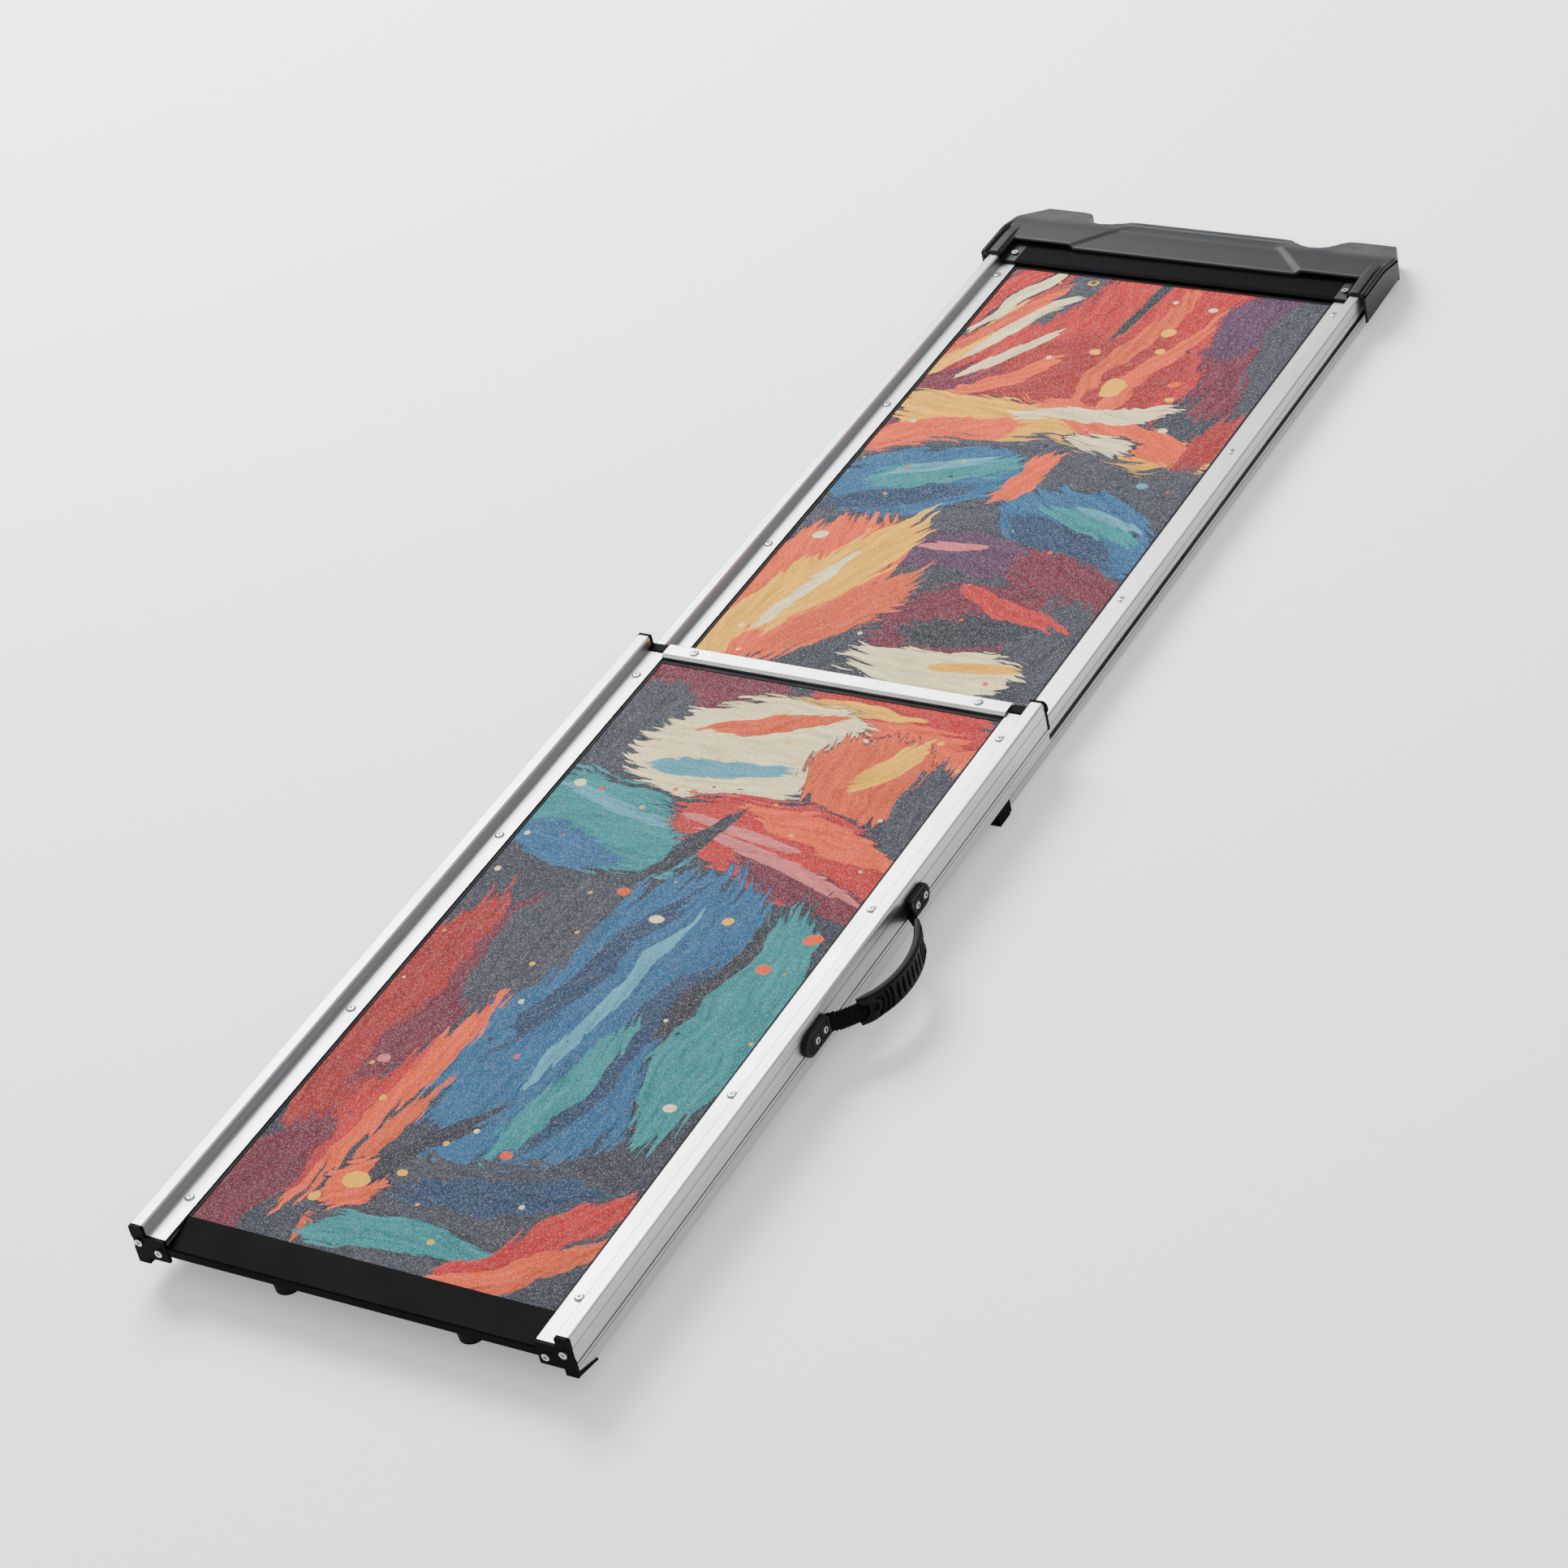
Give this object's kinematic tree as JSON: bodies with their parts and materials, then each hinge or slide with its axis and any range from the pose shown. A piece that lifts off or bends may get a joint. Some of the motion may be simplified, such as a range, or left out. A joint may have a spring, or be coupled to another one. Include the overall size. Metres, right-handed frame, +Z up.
{
  "type": "telescoping dog ramp",
  "caption": "Telescoping pet ramp: two grit-covered decks in sliding aluminium side rails, black end caps, sloping nose, ground lip, rubber feet and a carry handle.",
  "frame": {"origin": "middle of the footprint on the surface that the flat, fully extended ramp lies on", "axes": "+Y up the ramp from the ground end to the nose, +Z up from the underside through the deck, +X towards the side with the carry handle"},
  "size_m": [0.4466, 1.59, 0.0574],
  "materials": {
    "mill_aluminium": "satin extruded, fine long draw lines",
    "black_plastic": "moulded, fine grain",
    "grip_rubber": "matt moulded",
    "foot_rubber": "matt",
    "seal_rubber": "matt",
    "zinc_steel": "bright zinc plate",
    "composite_board": "smooth sheet",
    "grit_print": "coarse mineral grit over a printed colour pattern",
    "glide_plastic": "low-friction natural",
    "strap_webbing": "woven ribbed webbing"
  },
  "bodies": {
    "lower_section": {"lower_rail_left": "mill_aluminium", "lower_rail_right": "mill_aluminium", "lower_deck_board": "composite_board", "lower_deck_grip_sheet": "grit_print", "lower_deck_seal": "seal_rubber", "lower_deck_rivets": "mill_aluminium", "lower_cross_members": "mill_aluminium", "lower_crossbar": "mill_aluminium", "lower_crossbar_rivets": "mill_aluminium", "bottom_lip": "black_plastic", "ground_feet": "foot_rubber", "ground_foot_screws": "zinc_steel", "bottom_end_cap_left": "black_plastic", "bottom_end_cap_right": "black_plastic", "bottom_cap_screws": "zinc_steel", "lower_top_cap_left": "black_plastic", "lower_top_cap_right": "black_plastic", "lower_top_cap_screws": "zinc_steel", "glide_strips": "glide_plastic", "stop_blocks": "black_plastic", "handle_bracket_lower": "black_plastic", "handle_bracket_upper": "black_plastic", "handle_bracket_screws": "zinc_steel", "handle_webbing_ends": "strap_webbing"},
    "upper_section": {"upper_rail_left": "mill_aluminium", "upper_rail_right": "mill_aluminium", "upper_deck_board": "composite_board", "upper_deck_grip_sheet": "grit_print", "upper_deck_seal": "seal_rubber", "upper_deck_rivets": "mill_aluminium", "upper_cross_members": "mill_aluminium", "upper_tail_crossbar": "mill_aluminium", "upper_tail_crossbar_rivets": "mill_aluminium", "upper_sill_bar": "black_plastic", "upper_tail_cap_left": "black_plastic", "upper_tail_cap_right": "black_plastic", "upper_tail_cap_screws": "zinc_steel", "nose_cover": "black_plastic", "nose_tray": "black_plastic", "vehicle_pads": "foot_rubber", "nose_screws": "zinc_steel"},
    "carry_handle": {"handle_webbing": "strap_webbing", "handle_grip": "grip_rubber"}
  },
  "joints": [
    {"name": "telescope_slide", "type": "slide", "parent": "lower_section", "child": "upper_section", "axis": [0, -1, 0], "range_m": [0, 0.64]},
    {"name": "handle_swing", "type": "hinge", "parent": "lower_section", "child": "carry_handle", "pos_m": [0.1872, -0.3325, 0.0365], "axis": [0, 1, 0], "range_deg": [-30, 30]}
  ]
}
